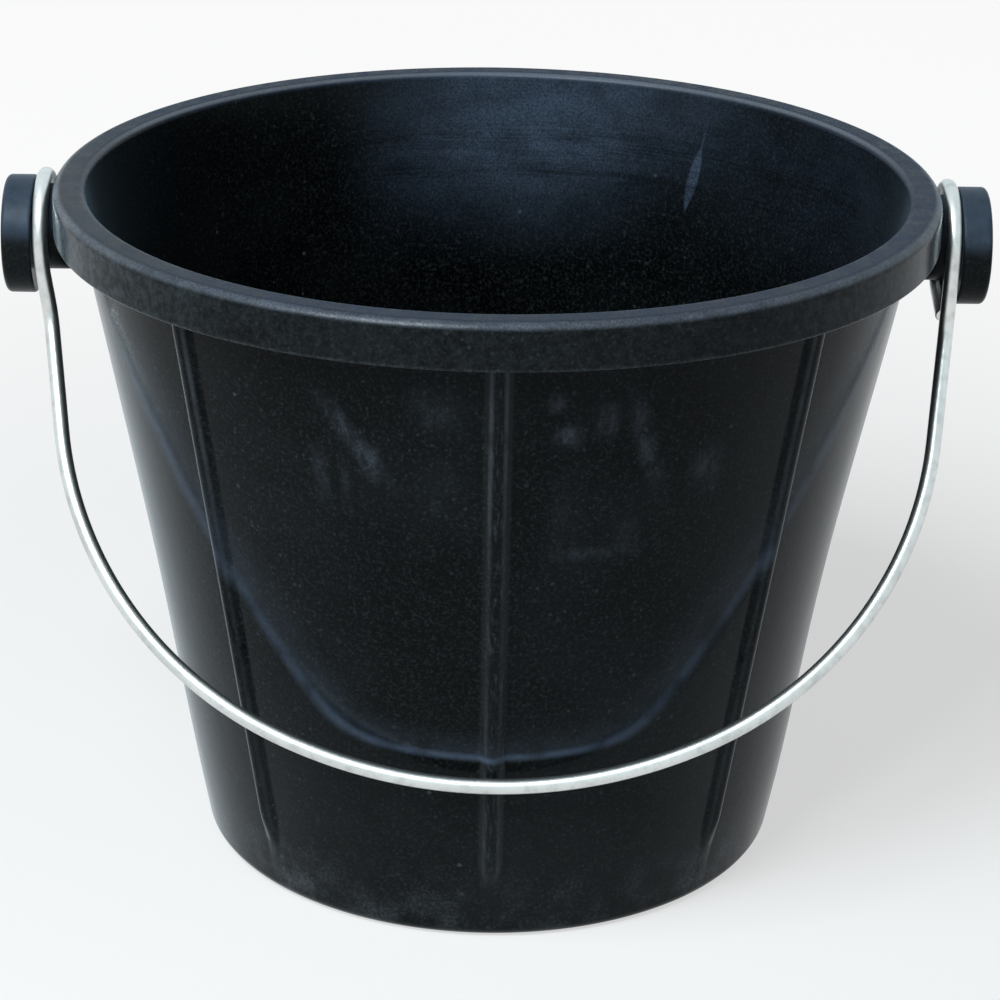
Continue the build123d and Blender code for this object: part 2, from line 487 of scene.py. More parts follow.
@dataclass(frozen=True)
class RubberFinish:
    """Black moulded rubber with a satin skin, dust, scuffs and painted light: highlights, sheen and
    the bail's reflection.
    """

    black: Colour = (0.0006, 0.0009, 0.0010, 1.0)
    grey: Colour = (0.0026, 0.0036, 0.0040, 1.0)
    bloom: Colour = (0.0088, 0.0104, 0.0108, 1.0)
    ash: Colour = (0.024, 0.029, 0.031, 1.0)
    # Colour of the painted reflection of the bail.
    painted_bail_reflection: Colour = (0.115, 0.160, 0.240, 1.0)
    smear: Colour = (0.084, 0.104, 0.134, 1.0)
    dust: Colour = (0.085, 0.100, 0.112, 1.0)
    # Colour of the pale layer inside and on the lugs' tops, which also paints a sheen of light.
    film_and_painted_sheen: Colour = (0.075, 0.108, 0.165, 1.0)
    # Colour of the painted highlights on rim and rib edges, and of dirt round the base.
    painted_highlight_and_dirt: Colour = (0.22, 0.25, 0.29, 1.0)
    tint: Colour = (0.82, 0.93, 1.0, 1.0)
    # Colour of the dust and painted sheen on top of the rim.
    land_dust_and_painted_sheen: Colour = (0.050, 0.068, 0.118, 1.0)
    sheen: Colour = (0.60, 0.82, 1.0, 1.0)
    sheen_weight: float = 0.2
    sheen_rough: float = 0.3
    index: float = 1.15
    coat_index: float = 1.5
    coat_rough: float = 0.32
    skin_rough: float = 0.12
    bump_strength: float = 0.16
    bump_depth: float = 0.0012

    def make(self, name: str, moulding: Moulding) -> bpy.types.Material:
        """Build the material.

        Args:
            name: The material's name.
            moulding: The piece that it dresses.

        Returns:
            The material.
        """
        material, board = blank_material(name)
        blotch = board.grain(0.045, 4.0).ramp(0.35, 0.7)
        mottle = board.grain(0.0012, 4.0, roughness=0.75).ramp(0.46, 0.76)
        bloomed = 0.5 + 0.5 * blotch
        dusty = self.dust_mask(board)
        rough = self.skin_rough + 0.08 * board.grain(0.012, 3.0) + 0.25 * dusty
        if moulding is Moulding.SHELL:
            marks = ShellMarks(board)
            bloomed = bloomed * marks.bloom()
            film_and_painted_sheen, land, polish = marks.film_and_painted_sheen(), marks.land(), marks.polish()
            streaks, rib_edge_highlight = marks.ribs()
            # The bail's line is a painted reflection, the inside layer and the rim top carry a
            # painted sheen, and the pale edge marks are painted highlights.
            marked = [
                (film_and_painted_sheen, self.film_and_painted_sheen), (marks.smear(), self.smear), (marks.painted_bail_reflection(), self.painted_bail_reflection),
                (land, self.land_dust_and_painted_sheen), ((streaks + marks.band()).clamped(), self.dust),
                ((marks.painted_highlight_and_dirt(polish) + rib_edge_highlight).clamped(), self.painted_highlight_and_dirt),
            ]
            rough = rough + 0.25 * film_and_painted_sheen + land
        else:
            # On a lug, dust with a painted sheen of light lies on the faces that look up.
            top_dust_and_sheen = self.top_dust_and_sheen_mask(board)
            marked = [(top_dust_and_sheen, self.film_and_painted_sheen)]
            polish = top_dust_and_sheen * 0.3
            rough = rough + 0.15 + 0.4 * top_dust_and_sheen
        skin = [
            (blotch, self.grey), (bloomed, self.bloom), (mottle * 0.75, self.ash),
            (dusty, self.dust),
        ]
        colour: Shade | Colour = self.black
        for mask, paint in skin + marked:
            colour = board.mix(mask, colour, paint)
        surface = board.node("ShaderNodeBsdfPrincipled", None, {
            "Base Color": colour, "Roughness": rough.clamped(), "Normal": self.bump(board),
            "IOR": self.index, "Specular Tint": self.tint, "Coat Weight": polish,
            "Coat Roughness": self.coat_rough, "Coat IOR": self.coat_index,
            "Sheen Weight": self.sheen_weight, "Sheen Roughness": self.sheen_rough,
            "Sheen Tint": self.sheen,
        })
        board.node("ShaderNodeOutputMaterial", None, {"Surface": surface})
        return material

    def bump(self, board: NodeBoard) -> Shade:
        """Uneven skin with fine grain and pits.

        Args:
            board: The material's board.

        Returns:
            The normal.
        """
        fine = board.grain(0.0011, 3.0, roughness=0.7)
        pits = board.specks(0.0042, 0.0009, 0.22)
        lift = board.grain(0.02, 2.0) * 0.5 + fine * 0.16 - pits * 0.25
        inputs = {"Strength": self.bump_strength, "Distance": self.bump_depth, "Height": lift}
        return board.node("ShaderNodeBump", None, inputs)

    def dust_mask(self, board: NodeBoard) -> Shade:
        """Fine pale specks of three sizes, thicker in drifts.

        Args:
            board: The material's board.

        Returns:
            A mask from 0 to 1.
        """
        drift = board.grain(0.05, 3.0).ramp(0.3, 0.75)
        fine = board.specks(0.0023, 0.0008, 0.6) * (0.35 + 0.65 * drift)
        coarse = board.specks(0.0047, 0.0010, 0.55) * (0.4 + 0.6 * drift)
        bright = board.specks(0.0105, 0.0010, 0.3)
        return (fine * 0.15 + coarse * 0.21 + bright * 0.42).clamped()

    def top_dust_and_sheen_mask(self, board: NodeBoard) -> Shade:
        """Dust with a painted sheen of light on faces that look up.

        Args:
            board: The material's board.

        Returns:
            A mask from 0 to 1.
        """
        normal = board.node("ShaderNodeNewGeometry", output="Normal")
        upward = board.node("ShaderNodeSeparateXYZ", None, {"Vector": normal}, "Z")
        return upward.ramp(0.05, 0.45) * (0.2 + 0.4 * board.grain(0.005, 4.0, roughness=0.6))


@dataclass(frozen=True)
class ZincFinish:
    """Bright zinc plate on drawn steel wire, with faint drawing lines and dull spots."""

    bright: Colour = (0.72, 0.74, 0.73, 1.0)
    dull: Colour = (0.44, 0.455, 0.445, 1.0)
    bump_strength: float = 0.08
    bump_depth: float = 0.0003

    def make(self, name: str) -> bpy.types.Material:
        """Build the material.

        Args:
            name: The material's name.

        Returns:
            The material.
        """
        material, board = blank_material(name)
        spots = board.grain(0.004, 4.0, roughness=0.65)
        bands = board.grain(0.03, 2.0)
        dulled = spots.ramp(0.42, 0.72) * 0.5 + bands.ramp(0.4, 0.7) * 0.3
        colour = board.mix(dulled, self.bright, self.dull)
        rough = 0.26 + 0.14 * spots + 0.06 * bands
        lines = board.grain(0.0005, 2.0, (1.0, 0.2, 0.2))
        inputs = {"Strength": self.bump_strength, "Distance": self.bump_depth}
        bump = board.node("ShaderNodeBump", None, inputs | {"Height": lines + spots})
        surface = board.node("ShaderNodeBsdfPrincipled", None, {
            "Base Color": colour, "Roughness": rough, "Normal": bump, "Metallic": 1.0,
        })
        board.node("ShaderNodeOutputMaterial", None, {"Surface": surface})
        return material


@dataclass(frozen=True)
class PaperFinish:
    """The plain pale floor, partly white by itself where it is seen."""

    colour: Colour = (0.93, 0.93, 0.93, 1.0)
    glow: Colour = (1.0, 1.0, 1.0, 1.0)
    white: float = 0.6
    far_white: float = 0.92
    near: float = 0.22
    far: float = 0.9

    def make(self, name: str) -> bpy.types.Material:
        """Build the material.

        Args:
            name: The material's name.

        Returns:
            The material.
        """
        material, board = blank_material(name)
        lit = board.node("ShaderNodeBsdfDiffuse", None, {"Color": self.colour})
        plain = board.node("ShaderNodeEmission", None, {"Color": self.glow, "Strength": 1.0})
        place = board.node("ShaderNodeTexCoord", output="Object")
        away = board.node("ShaderNodeVectorMath", {"operation": "LENGTH"}, {0: place}, "Value")
        share = self.white + (self.far_white - self.white) * away.ramp(self.near, self.far)
        inputs = {0: board.backdrop_rays() * share, 1: lit, 2: plain}
        surface = board.node("ShaderNodeMixShader", None, inputs)
        board.node("ShaderNodeOutputMaterial", None, {"Surface": surface})
        return material


@dataclass(frozen=True)
class Corner:
    """A corner of a turned outline, with the radius and the steps of its rounding.

    The two ends of an outline have none.
    """

    radius: float
    z: float
    rounding: float = 0.0
    steps: int = 0


def rounded_outline(corners: Sequence[Corner]) -> Outline:
    """Round the corners of an open outline.

    Args:
        corners: The corners in order.

    Returns:
        Points of (radius, z) along the rounded outline.
    """
    points = [(corners[0].radius, corners[0].z)]
    for before, corner, after in zip(corners, corners[1:], corners[2:]):
        middle = Vector((corner.radius, corner.z))
        back = (Vector((before.radius, before.z)) - middle).normalized()
        ahead = (Vector((after.radius, after.z)) - middle).normalized()
        half = math.acos(max(-1.0, min(1.0, back.dot(ahead)))) / 2
        centre = middle + (back + ahead).normalized() * (corner.rounding / math.sin(half))
        start = middle + back * (corner.rounding / math.tan(half)) - centre
        sweep = (math.pi - 2 * half) * (1.0 if back.cross(ahead) < 0 else -1.0)
        for step in range(corner.steps + 1):
            points.append(tuple(centre + Matrix.Rotation(sweep * step / corner.steps, 2) @ start))
    points.append((corners[-1].radius, corners[-1].z))
    return points


def filled_runs(points: Outline, spacing: Callable[[float, float], float]) -> Outline:
    """Divide the long runs of an outline.

    Args:
        points: The outline's points.
        spacing: The longest run at a given (radius, z).

    Returns:
        The outline with points added on its runs.
    """
    filled = [points[0]]
    for (radius, z), (end_radius, end_z) in zip(points, points[1:]):
        length = math.hypot(end_radius - radius, end_z - z)
        done = spacing(radius, z)
        while done < length - 0.4 * spacing(radius, z):
            share = done / length
            here = (radius + (end_radius - radius) * share, z + (end_z - z) * share)
            filled.append(here)
            done += spacing(*here)
        filled.append((end_radius, end_z))
    return filled


def smooth_step(value: float) -> float:
    """Smooth rise from 0 to 1 as the value goes from 0 to 1."""
    held = max(0.0, min(1.0, value))
    return held * held * (3 - 2 * held)


def soft_least(first: float, second: float, blend: float) -> float:
    """Lesser of two values, rounded over where they are within a blend of each other."""
    overlap = max(blend - abs(first - second), 0.0) / blend
    return min(first, second) - overlap * overlap * blend / 4


def lofted(rings: int, count: int) -> list[Face]:
    """Faces of a tube of rings that is closed at both ends.

    Args:
        rings: How many rings of points there are.
        count: How many points each ring has.

    Returns:
        The faces.
    """
    faces = [
        (ring * count + place, ring * count + (place + 1) % count,
         (ring + 1) * count + (place + 1) % count, (ring + 1) * count + place)
        for ring in range(rings - 1) for place in range(count)
    ]
    faces.append(tuple(reversed(range(count))))
    faces.append(tuple(range((rings - 1) * count, rings * count)))
    return faces


def make_piece(name: str, points: Iterable[Point], faces: Sequence[Face],
               material: bpy.types.Material) -> bpy.types.Object:
    """Make a smooth mesh piece.

    Args:
        name: The piece's name.
        points: Its vertices.
        faces: Its faces.
        material: Its material.

    Returns:
        The object, linked to the scene.
    """
    mesh = bpy.data.meshes.new(name)
    mesh.from_pydata(list(points), [], faces)
    mesh.validate()
    mesh.materials.append(material)
    mesh.shade_smooth()
    piece = bpy.data.objects.new(name, mesh)
    bpy.context.scene.collection.objects.link(piece)
    weighted = piece.modifiers.new("even_normals", "WEIGHTED_NORMAL")
    weighted.keep_sharp = True
    return piece


@dataclass(frozen=True)
class Dent:
    """A shallow place where the soft wall leans in, placed as a smudge is."""

    turn: float
    height: float
    half_turn: float
    half_height: float
    depth: float

    def sink(self, turn: float, z: float) -> float:
        """How far the wall leans in at a turn in degrees and a height."""
        wide = smooth_step(1.0 - abs((turn - self.turn + 180.0) % 360.0 - 180.0) / self.half_turn)
        return self.depth * wide * smooth_step(1.0 - abs(z - self.height) / self.half_height)


@dataclass
class RubberShell:
    """The moulding: foot ring, tapered wall, ribs, rim band and inside."""

    height: float = 0.244
    base_radius: float = 0.1045
    shoulder_radius: float = 0.1455
    band_projection: float = 0.0095
    band_height: float = 0.016
    wall: float = 0.0045
    floor: float = 0.006
    foot_ring: float = 0.015
    foot_depth: float = 0.002
    base_rounding: float = 0.005
    foot_rounding: float = 0.001
    band_root_rounding: float = 0.0004
    band_rounding: float = 0.0009
    rim_rounding: float = 0.0035
    mouth_rounding: float = 0.003
    floor_rounding: float = 0.009
    long_run: float = 0.009
    fine_run: float = 0.0008
    places: int = 8
    bare_places: tuple[int, ...] = (2, 6)
    rib_top_width: float = 0.0094
    rib_foot_width: float = 0.0082
    rib_rise: float = 0.0028
    rib_draft: float = math.radians(38.0)
    rib_tip: float = 0.0195
    rib_tip_run: float = 0.016
    rib_tip_width: float = 0.74
    rib_tip_rise: float = 0.25
    rib_on_wall: float = 0.00155
    crown_blend: float = 0.0032
    root_blend: float = 0.0009
    ripple: float = 0.00016
    ripple_rate: float = 2.2
    ripple_stretch: float = 8.0
    ripple_lift: float = 0.6
    dents: tuple[Dent, ...] = (
        Dent(84.0, 0.118, 42.0, 0.100, 0.0021), Dent(-84.0, 0.118, 42.0, 0.105, 0.0011))
    cap_radius: float = 0.02
    rib_columns: tuple[float, ...] = (
        0.0, 0.2, 0.34, 0.42, 0.48, 0.53, 0.59, 0.67, 0.77, 0.86, 0.93, 1.0, 1.08, 1.18, 1.34, 1.7)
    gap_columns: int = 17
    pieces: list[bpy.types.Object] = field(default_factory=list)

    @property
    def band_z(self) -> float:
        """Height of the underside of the rim band."""
        return self.height - self.band_height

    @property
    def taper(self) -> float:
        """How much the wall widens for each metre up."""
        return (self.shoulder_radius - self.base_radius) / self.band_z

    @property
    def rim_radius(self) -> float:
        """Outside radius of the rim band."""
        return self.shoulder_radius + self.band_projection

    def wall_radius(self, z: float) -> float:
        """Outside radius of the plain wall at a height."""
        return self.base_radius + self.taper * z

    def outline(self) -> Outline:
        """Half section of the shell.

        Returns:
            Points of (radius, z) from the middle of the underside round to the middle of the floor.
        """
        foot = self.base_radius - self.base_rounding - self.foot_ring
        floor_z = self.foot_depth + self.floor
        corners = [
            Corner(self.cap_radius, self.foot_depth),
            Corner(foot - self.foot_depth, self.foot_depth, self.foot_rounding, 3),
            Corner(foot, 0.0, self.foot_rounding, 3),
            Corner(self.base_radius, 0.0, self.base_rounding, 8),
            Corner(self.shoulder_radius, self.band_z, self.band_root_rounding, 3),
            Corner(self.rim_radius, self.band_z, self.band_rounding, 5),
            Corner(self.rim_radius, self.height, self.rim_rounding, 9),
            Corner(self.wall_radius(self.height) - self.wall, self.height, self.mouth_rounding, 8),
            Corner(self.wall_radius(floor_z) - self.wall, floor_z, self.floor_rounding, 9),
            Corner(self.cap_radius, floor_z),
        ]
        return filled_runs(rounded_outline(corners), self.spacing)

    def spacing(self, radius: float, z: float) -> float:
        """Longest run between rows of points, finer by the tips of the ribs.

        Args:
            radius: The outline's radius.
            z: The outline's height.

        Returns:
            The length of the run.
        """
        outside = radius > self.wall_radius(z) - self.wall / 2
        by_tip = self.rib_tip - 0.003 < z < self.rib_tip + self.rib_tip_run + 0.004
        return self.fine_run if outside and by_tip else self.long_run

    def rib_half(self, z: float) -> float:
        """Half the width of a rib at the wall, at a height."""
        share = max(0.0, min(1.0, z / self.band_z))
        return (self.rib_foot_width + (self.rib_top_width - self.rib_foot_width) * share) / 2

    def rib_height(self, lateral: float, z: float) -> float:
        """How far a rib stands off the wall.

        Args:
            lateral: Distance from the rib's middle, in halves of its width.
            z: The height.

        Returns:
            The distance from the plain wall.
        """
        above_tip = (z - self.rib_tip) * math.hypot(1.0, self.taper)
        if above_tip < -0.002:
            return 0.0
        grown = smooth_step(above_tip / self.rib_tip_run)
        half = self.rib_half(z) * (self.rib_tip_width + (1 - self.rib_tip_width) * grown)
        aside = abs(lateral) * self.rib_half(z)
        inset = half - math.hypot(aside, max(0.0, half - above_tip))
        flank = inset / math.tan(self.rib_draft)
        crown = self.rib_rise * (self.rib_tip_rise + (1 - self.rib_tip_rise) * grown)
        raised = soft_least(flank, crown, self.crown_blend)
        return -soft_least(-raised, 0.0, self.root_blend)

    def columns(self) -> list[Column]:
        """Where the columns of points stand round the shell.

        Returns:
            For each column the number of its rib's place round the shell, its distance from the
            middle of the rib in halves of the width, and its share of the way to the next place.
        """
        across = [-u for u in reversed(self.rib_columns[1:])] + list(self.rib_columns)
        placed = []
        for place in range(self.places):
            placed += [(place, u, 0.0) for u in across]
            steps = range(1, self.gap_columns + 1)
            placed += [(place, across[-1], step / (self.gap_columns + 1)) for step in steps]
        return placed

    def point(self, radius: float, z: float, column: Column) -> Point:
        """Place one point of the shell.

        Args:
            radius: The outline's radius.
            z: The outline's height.
            column: The column that the point stands in.

        Returns:
            The point.
        """
        place, lateral, share = column
        half_angle = self.rib_half(z) / self.wall_radius(z)
        pitch = 2 * math.pi / self.places
        gap = pitch - 2 * self.rib_columns[-1] * half_angle
        angle = place * pitch + lateral * half_angle + share * gap
        on_wall = -self.wall / 2 < radius - self.wall_radius(z) < self.rib_on_wall
        between = self.base_rounding / 2 < z < self.band_z + 1e-6
        if on_wall and between and share == 0.0 and place not in self.bare_places:
            radius += self.rib_height(lateral, z) * math.hypot(1.0, self.taper)
        if z > 2 * self.base_rounding:
            spot = Vector((math.sin(angle), math.cos(angle), z * self.ripple_stretch))
            spot *= self.ripple_rate
            radius += self.ripple * noise.noise(spot)
            radius -= sum(dent.sink(math.degrees(angle), z) for dent in self.dents)
            risen = smooth_step((z - 0.1) / 0.1)
            z += self.ripple_lift * self.ripple * noise.noise(spot * 0.7) * risen
        return (radius * math.sin(angle), -radius * math.cos(angle), z)

    def build(self, finish: RubberFinish) -> None:
        """Make the shell's mesh and seat it in the frame.

        Args:
            finish: The rubber that it is made of.
        """
        columns = self.columns()
        rows = self.outline()
        points = [self.point(radius, z, column) for radius, z in rows for column in columns]
        faces = lofted(len(rows), len(columns))
        shell = make_piece("shell", points, faces, finish.make("black_rubber", Moulding.SHELL))
        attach(shell, "bucket")
        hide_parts("bucket_body")
        self.pieces.append(shell)


@dataclass
class MushroomLug:
    """A rubber neck with an offset disc that keeps an eye of the bail on it."""

    side: Side
    pivot_z: float = 0.2244
    neck_radius: float = 0.015
    disc_radius: float = 0.0207
    disc_thickness: float = 0.0103
    disc_drop: float = 0.0028
    disc_back_x: float = 0.1619
    root_x: float = 0.15
    neck_end_x: float = 0.158
    neck_flare: float = 0.001
    back_rounding: float = 0.001
    face_rounding: float = 0.0018
    swell: float = 0.004
    swell_rate: float = 60.0
    swell_from: int = 11
    count: int = 120
    pieces: list[bpy.types.Object] = field(default_factory=list)

    @property
    def disc_z(self) -> float:
        """Height of the disc's centre."""
        return self.pivot_z - self.disc_drop

    def rings(self) -> list[Ring]:
        """Rings from the neck's root to the middle of the disc's face.

        Returns:
            For each ring its x, the height of its centre and its radius.
        """
        face_x = self.disc_back_x + self.disc_thickness
        rings = [(x, self.pivot_z, self.neck_radius) for x in (self.root_x, self.neck_end_x)]
        for step in range(6):
            turn = math.pi / 2 * step / 5
            out = self.neck_flare * (1 - math.cos(turn))
            along = self.disc_back_x - self.neck_flare * (1 - math.sin(turn))
            rings.append((along, self.pivot_z, self.neck_radius + out))
        middle = 0.5 * (self.neck_radius + self.disc_radius) + 0.0008
        rings.append((self.disc_back_x, self.disc_z + 0.0012, middle))
        rings += self.rounding(self.disc_back_x, self.back_rounding, 1.0)
        rings += [(self.disc_back_x + share * self.disc_thickness, self.disc_z, self.disc_radius)
                  for share in (0.3, 0.5, 0.65)]
        rings += self.rounding(face_x, self.face_rounding, -1.0)
        rings += [(face_x, self.disc_z, self.disc_radius * share) for share in (0.8, 0.5, 0.2)]
        return rings

    def rounding(self, face_x: float, rounding: float, way: float) -> list[Ring]:
        """Rings over a rounded rim of the disc.

        Args:
            face_x: The x of the face that the rim belongs to.
            rounding: The radius of the rim.
            way: 1 from the back face to the edge, -1 from the edge to the front face.

        Returns:
            The rings in order.
        """
        rings = []
        for step in range(8):
            turn = math.pi / 2 * step / 7
            along, out = math.cos(turn), math.sin(turn)
            if way < 0:
                along, out = out, along
            radius = self.disc_radius - rounding * (1 - out)
            rings.append((face_x + way * rounding * (1 - along), self.disc_z, radius))
        return rings

    def point(self, number: int, ring: Ring, turn: float, shell: RubberShell) -> Point:
        """Place one point of the lug.

        Args:
            number: The ring's number. The first one follows the wall, inside it.
            ring: The ring on the right-hand lug.
            turn: The angle round the ring.
            shell: The shell that the lug stands on.

        Returns:
            The point.
        """
        x, centre_z, radius = ring
        y, z = radius * math.sin(turn), centre_z + radius * math.cos(turn)
        if number == 0:
            x = math.sqrt(shell.wall_radius(z) ** 2 - y * y) - shell.wall / 3
        swell = 1.0
        if number >= self.swell_from:
            wobble = Vector((x, y, z)) * self.swell_rate + Vector((0.0, 0.0, self.side.value))
            swell += self.swell * noise.noise(wobble)
        return (self.side.value * x, y * swell, centre_z + (z - centre_z) * swell)

    def build(self, finish: RubberFinish, shell: RubberShell) -> None:
        """Make the lug's mesh and seat it in the frame.

        Args:
            finish: The rubber that it is made of.
            shell: The shell that it stands on.
        """
        word = self.side.name.lower()
        way = self.side.value
        rings = self.rings()
        turns = [-way * 2 * math.pi * step / self.count for step in range(self.count)]
        points = [self.point(number, ring, turn, shell)
                  for number, ring in enumerate(rings) for turn in turns]
        faces = lofted(len(rings), self.count)
        rubber = finish.make(f"lug_rubber_{word}", Moulding.LUG)
        lug = make_piece(f"lug_{word}", points, faces, rubber)
        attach(lug, "bucket")
        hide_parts(f"{word}_lug")
        self.pieces.append(lug)


@dataclass
class WireBail:
    """The bent wire bail: a loop, a riser on each side and an eye round each neck.

    The wraps, in degrees, and the tails are those of the left and the right eye.
    """

    shell: RubberShell
    lug: MushroomLug
    wire_radius: float = 0.00265
    depth: float = 0.1964
    splay: float = math.radians(7.6)
    bottom_ratio: float = 1.1
    side_ratio: float = 0.883
    loop_inset: float = 0.00185
    loop_shift: float = 0.0011
    kink_radius: float = 0.013
    eye_slack: float = 0.00275
    eye_lean: float = 0.0003
    hang_gap: float = 0.0003
    rest_gap: float = 0.0003
    band_gap: float = 0.0004
    chamfer: float = 0.0005
    wraps: tuple[float, float] = (222.0, 255.0)
    tails: tuple[float, float] = (0.004, 0.015)
    count: int = 28
    bottom_steps: int = 24
    flank_steps: int = 40
    leg_steps: int = 5
    kink_steps: int = 10
    eye_steps: int = 72
    pieces: list[bpy.types.Object] = field(default_factory=list)

    @property
    def eye_radius(self) -> float:
        """Radius of an eye, to the middle of the wire."""
        return self.lug.neck_radius + self.eye_slack + self.wire_radius

    @property
    def eye_centre(self) -> Vector:
        """Centre of the right eye, which hangs on its neck."""
        x = self.shell.rim_radius + self.band_gap + self.wire_radius + self.eye_lean
        return Vector((x, 0.0, self.lug.pivot_z - self.eye_slack + self.hang_gap))

    @property
    def tilt(self) -> float:
        """Lean of the loop away from upright, which lays the wire on the crown of the front rib.

        Returns:
            The angle in radians.
        """
        slope = math.atan(self.shell.taper)
        stand_off = self.shell.rib_rise + self.wire_radius + self.rest_gap
        reach = stand_off + self.shell.base_radius * math.cos(slope)
        return math.asin((reach + self.eye_centre.z * math.sin(slope)) / self.depth) - slope

    @property
    def down(self) -> Vector:
        """Direction down the plane of the loop."""
        return Vector((0.0, -math.sin(self.tilt), -math.cos(self.tilt)))

    @property
    def loop_half(self) -> float:
        """Half the width of the loop between its kinks."""
        return self.eye_centre.x - self.loop_inset

    @property
    def kink_down(self) -> float:
        """Distance of the kinks down the loop from the line of the eyes."""
        return self.eye_radius / math.sin(self.tilt)

    def loop_point(self, x: float, s: float) -> Vector:
        """Point x to the right of the loop's middle and s down from the line of the eyes."""
        return Vector((self.loop_shift + x, 0.0, self.eye_centre.z)) + self.down * s

    def loop_curve(self, side: Side) -> list[Vector]:
        """Half of the loop.

        Args:
            side: The half to follow.

        Returns:
            Points from the middle of the bottom to the start of the straight leg.
        """
        bottom, flank = self.bottom_ratio * self.loop_half, self.side_ratio * self.loop_half
        bottom_down = self.depth - bottom
        lean = (self.kink_down - bottom_down) * math.sin(self.splay)
        lean = self.loop_half * math.cos(self.splay) + lean
        bottom_turn = math.asin((lean - flank) / (bottom - flank)) - self.splay
        flank_x = (bottom - flank) * math.sin(bottom_turn)
        flank_down = bottom_down + (bottom - flank) * math.cos(bottom_turn)
        flank_turn = math.pi / 2 - self.splay - bottom_turn
        curve = []
        for step in range(self.bottom_steps):
            turn = bottom_turn * step / self.bottom_steps
            curve.append((bottom * math.sin(turn), bottom_down + bottom * math.cos(turn)))
        for step in range(self.flank_steps + 1):
            turn = bottom_turn + flank_turn * step / self.flank_steps
            curve.append((flank_x + flank * math.sin(turn), flank_down + flank * math.cos(turn)))
        return [self.loop_point(side.value * x, s) for x, s in curve]

    def riser(self, side: Side, foot: Vector) -> list[Vector]:
        """Straight leg, kink and riser.

        Args:
            side: The half to follow.
            foot: The point where the straight leg starts.

        Returns:
            Points from just above the foot to just below the front of the eye.
        """
        head, up = self.eye_point(side, 0.0), self.eye_heading(side, 0.0)
        kink = self.loop_point(side.value * self.loop_half, self.kink_down)
        leg = Vector((side.value * math.sin(self.splay), 0.0, 0.0))
        leg -= self.down * math.cos(self.splay)
        rise = (head - kink).normalized()
        bend = leg.angle(rise)
        run = self.kink_radius * math.tan(bend / 2)
        inward = (rise - leg * rise.dot(leg)).normalized()
        start, end = kink - leg * run, kink + rise * run
        line = [foot.lerp(start, step / self.leg_steps) for step in range(1, self.leg_steps)]
        for step in range(self.kink_steps + 1):
            turn = bend * step / self.kink_steps
            swung = leg * math.sin(turn) + inward * (1 - math.cos(turn))
            line.append(start + swung * self.kink_radius)
        pull = (head - end).length
        for share in (0.2, 0.4, 0.6, 0.8):
            swing = rise * (pull * share * (1 - share) ** 2)
            swing -= up * (pull * share ** 2 * (1 - share))
            line.append(end.lerp(head, smooth_step(share)) + swing)
        return line

    def eye_point(self, side: Side, turn: float) -> Vector:
        """Point on an eye.

        Args:
            side: The eye that is meant.
            turn: The turn in radians from its front over its top.

        Returns:
            The point on the middle of the wire.
        """
        up = Vector((self.eye_lean, 0.0, self.eye_radius)).normalized()
        ring = Vector((0.0, -math.cos(turn), 0.0)) + up * math.sin(turn)
        point = self.eye_centre + ring * self.eye_radius
        return Vector((side.value * point.x, point.y, point.z))

    def eye_heading(self, side: Side, turn: float) -> Vector:
        """Direction of the wire on an eye at a turn in radians from its front over its top."""
        up = Vector((side.value * self.eye_lean, 0.0, self.eye_radius)).normalized()
        return up * math.cos(turn) + Vector((0.0, math.sin(turn), 0.0))

    def half_path(self, side: Side) -> list[Vector]:
        """Centre line of half the wire.

        Args:
            side: The half to follow.

        Returns:
            Points from the middle of the bottom to the end of the tail.
        """
        path = self.loop_curve(side)
        path += self.riser(side, path[-1])
        right = side is Side.RIGHT
        wrap, tail = math.radians(self.wraps[right]), self.tails[right]
        path += [self.eye_point(side, wrap * step / self.eye_steps)
                 for step in range(self.eye_steps + 1)]
        path += [path[-1] + self.eye_heading(side, wrap) * tail * share for share in (0.5, 1.0)]
        return path

    def build(self, finish: ZincFinish) -> None:
        """Make the wire's mesh and seat it in the frame.

        Args:
            finish: The metal that it is made of.
        """
        left = self.half_path(Side.LEFT)
        points = self.tube(list(reversed(left[1:])) + self.half_path(Side.RIGHT))
        faces = lofted(len(points) // self.count, self.count)
        wire = make_piece("bail_wire", points, faces, finish.make("zinc_wire"))
        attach(wire, "bail")
        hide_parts("bail")
        self.pieces.append(wire)

    def tube(self, path: Sequence[Vector]) -> list[Point]:
        """Rings of points round a centre line, with chamfered ends.

        Args:
            path: The centre line.

        Returns:
            The points, ring after ring.
        """
        ahead, behind = [*path[1:], path[-1]], [path[0], *path[:-1]]
        tangents = [(after - before).normalized() for after, before in zip(ahead, behind)]
        rings = [(path[0], -1.0), (path[0] + tangents[0] * self.chamfer, 0.0)]
        rings += [(point, 0.0) for point in path[1:-1]]
        rings += [(path[-1] - tangents[-1] * self.chamfer, 0.0), (path[-1], -1.0)]
        headings = [tangents[0]] + tangents + [tangents[-1]]
        aside = headings[0].orthogonal().normalized()
        points: list[Point] = []
        for (centre, edge), heading in zip(rings, headings):
            aside = (aside - heading * aside.dot(heading)).normalized()
            upward = heading.cross(aside)
            radius = self.wire_radius + edge * self.chamfer
            for step in range(self.count):
                turn = 2 * math.pi * step / self.count
                arm = aside * math.cos(turn) + upward * math.sin(turn)
                points.append(tuple(centre + arm * radius))
        return points


